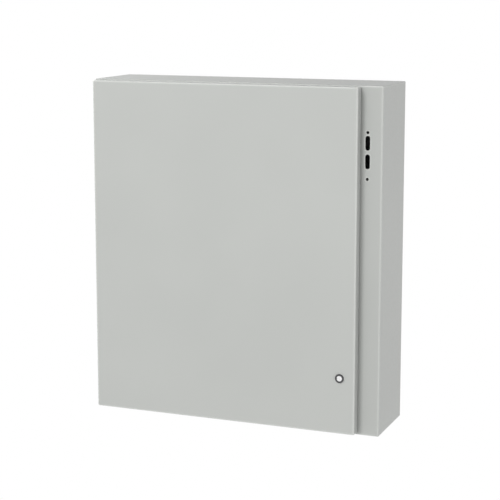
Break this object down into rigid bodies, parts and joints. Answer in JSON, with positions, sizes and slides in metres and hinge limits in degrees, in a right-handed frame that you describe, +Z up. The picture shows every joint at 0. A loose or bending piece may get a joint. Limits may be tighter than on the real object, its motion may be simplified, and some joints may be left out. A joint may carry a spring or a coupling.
{
  "type": "automatic transfer switch",
  "caption": "Wall-mounted grey steel cabinet with a hinged door and quarter-turn latch, holding a double-throw transfer switch, its solenoid operator, controller and wiring bars.",
  "frame": {"origin": "centre of the four wall-mounting holes, on the back face", "axes": "+X to the right seen from the front, +Y into the wall so the front faces -Y, +Z up"},
  "size_m": [0.8128, 0.2342, 0.9144],
  "materials": {
    "enclosure_paint": "light grey textured powder coat",
    "panel_white": "white powder coat",
    "zinc_steel": "zinc plated",
    "hinge_steel": "painted and plated steel",
    "gasket_foam": "black foam rubber",
    "pocket_plastic": "grey moulded",
    "latch_black": "black painted zinc casting",
    "latch_chrome": "polished",
    "phenolic": "dark red moulded insulation",
    "barrier_board": "tan fibre board",
    "copper": "copper bar, silver faced tips",
    "lug_aluminium": "tin plated",
    "black_oxide": "black oxide",
    "chute_plastic": "dark grey moulded",
    "coil_tape": "amber tape",
    "handle_red": "red dipped vinyl",
    "black_plastic": "black moulded",
    "housing_grey": "grey moulded",
    "display_glass": "dark display window",
    "lamp_green": "translucent lenses",
    "key_plastic": "light grey moulded",
    "lamination": "varnished laminations",
    "device_white": "off-white moulded",
    "relay_clear": "clear cover",
    "terminal_grey": "grey moulded",
    "duct_grey": "grey extruded",
    "insulator_red": "red glass polyester",
    "brass_screw": "plain"
  },
  "bodies": {
    "enclosure": {"enclosure_wrapper": "enclosure_paint", "enclosure_back": "enclosure_paint", "panel_studs": "zinc_steel", "panel_nuts": "zinc_steel", "mounting_panel": "panel_white", "body_hinge_leaf": "hinge_steel", "hinge_pin": "zinc_steel", "switch_base": "phenolic", "pole_barriers": "barrier_board", "bearing_plates": "zinc_steel", "normal_contacts": "copper", "emergency_contacts": "copper", "load_conductors": "copper", "cable_lugs": "lug_aluminium", "lug_set_screws": "black_oxide", "arc_chutes": "chute_plastic", "arc_plates": "zinc_steel", "solenoid_frame": "zinc_steel", "solenoid_coil": "coil_tape", "aux_switch": "black_plastic", "controller_housing": "housing_grey", "controller_faceplate": "housing_grey", "display_lens": "display_glass", "lamp_lenses": "lamp_green", "transformer_cores": "lamination", "transformer_coils": "coil_tape", "din_rail": "zinc_steel", "control_breakers": "device_white", "relay_sockets": "black_plastic", "relay_covers": "relay_clear", "terminal_strip": "terminal_grey", "wire_ducts": "duct_grey", "duct_covers": "duct_grey", "ground_bar": "copper", "neutral_bar": "copper", "neutral_insulators": "insulator_red", "bar_screws": "brass_screw", "panel_screws": "zinc_steel"},
    "door": {"door_panel": "enclosure_paint", "door_hinge_leaf": "hinge_steel", "door_gasket": "gasket_foam", "door_stiffeners": "enclosure_paint", "document_pocket": "pocket_plastic", "latch_housing": "latch_black", "latch_nut": "zinc_steel"},
    "latch": {"latch_core": "latch_chrome", "latch_cam": "zinc_steel"},
    "transfer_shaft": {"main_shaft": "zinc_steel", "shaft_carriers": "phenolic", "moving_contacts": "copper", "shaft_crank": "zinc_steel", "manual_handle": "zinc_steel", "handle_grip": "handle_red"},
    "plunger": {"solenoid_plunger": "zinc_steel"},
    "key_up": {"key_up": "key_plastic"},
    "key_down": {"key_down": "key_plastic"},
    "key_enter": {"key_enter": "key_plastic"},
    "selector": {"selector_knob": "black_plastic"},
    "toggle_normal": {"breaker_toggle_normal": "black_plastic"},
    "toggle_emergency": {"breaker_toggle_emergency": "black_plastic"}
  },
  "joints": [
    {"name": "door_swing", "type": "hinge", "parent": "enclosure", "child": "door", "pos_m": [-0.40335, -0.2064, 0], "axis": [0, 0, -1], "range_deg": [0, 160]},
    {"name": "latch_turn", "type": "hinge", "parent": "door", "child": "latch", "pos_m": [0.3071, -0.2312, -0.3023], "axis": [0, -1, 0], "range_deg": [0, 90]},
    {"name": "shaft_transfer", "type": "hinge", "parent": "enclosure", "child": "transfer_shaft", "pos_m": [-0.13, -0.092, 0.11], "axis": [1, 0, 0], "range_deg": [0, 40]},
    {"name": "plunger_slide", "type": "slide", "parent": "enclosure", "child": "plunger", "axis": [0, 0, -1], "range_m": [0, 0.0206]},
    {"name": "selector_turn", "type": "hinge", "parent": "enclosure", "child": "selector", "pos_m": [0.308, -0.112, 0.212], "axis": [0, -1, 0], "range_deg": [-45, 45]},
    {"name": "key_up_press", "type": "slide", "parent": "enclosure", "child": "key_up", "axis": [0, 1, 0], "range_m": [0, 0.0012], "stiffness_N_per_m": 600, "springref_m": -0.0004},
    {"name": "key_down_press", "type": "slide", "parent": "enclosure", "child": "key_down", "axis": [0, 1, 0], "range_m": [0, 0.0012], "stiffness_N_per_m": 600, "springref_m": -0.0004},
    {"name": "key_enter_press", "type": "slide", "parent": "enclosure", "child": "key_enter", "axis": [0, 1, 0], "range_m": [0, 0.0012], "stiffness_N_per_m": 600, "springref_m": -0.0004},
    {"name": "toggle_normal_flip", "type": "hinge", "parent": "enclosure", "child": "toggle_normal", "pos_m": [-0.262, -0.093, -0.245], "axis": [1, 0, 0], "range_deg": [0, 70]},
    {"name": "toggle_emergency_flip", "type": "hinge", "parent": "enclosure", "child": "toggle_emergency", "pos_m": [-0.225, -0.093, -0.245], "axis": [1, 0, 0], "range_deg": [0, 70]}
  ],
  "couplings": [
    {"joint": "plunger_slide", "follows": "shaft_transfer", "m_per_rad": 0.029395}
  ]
}
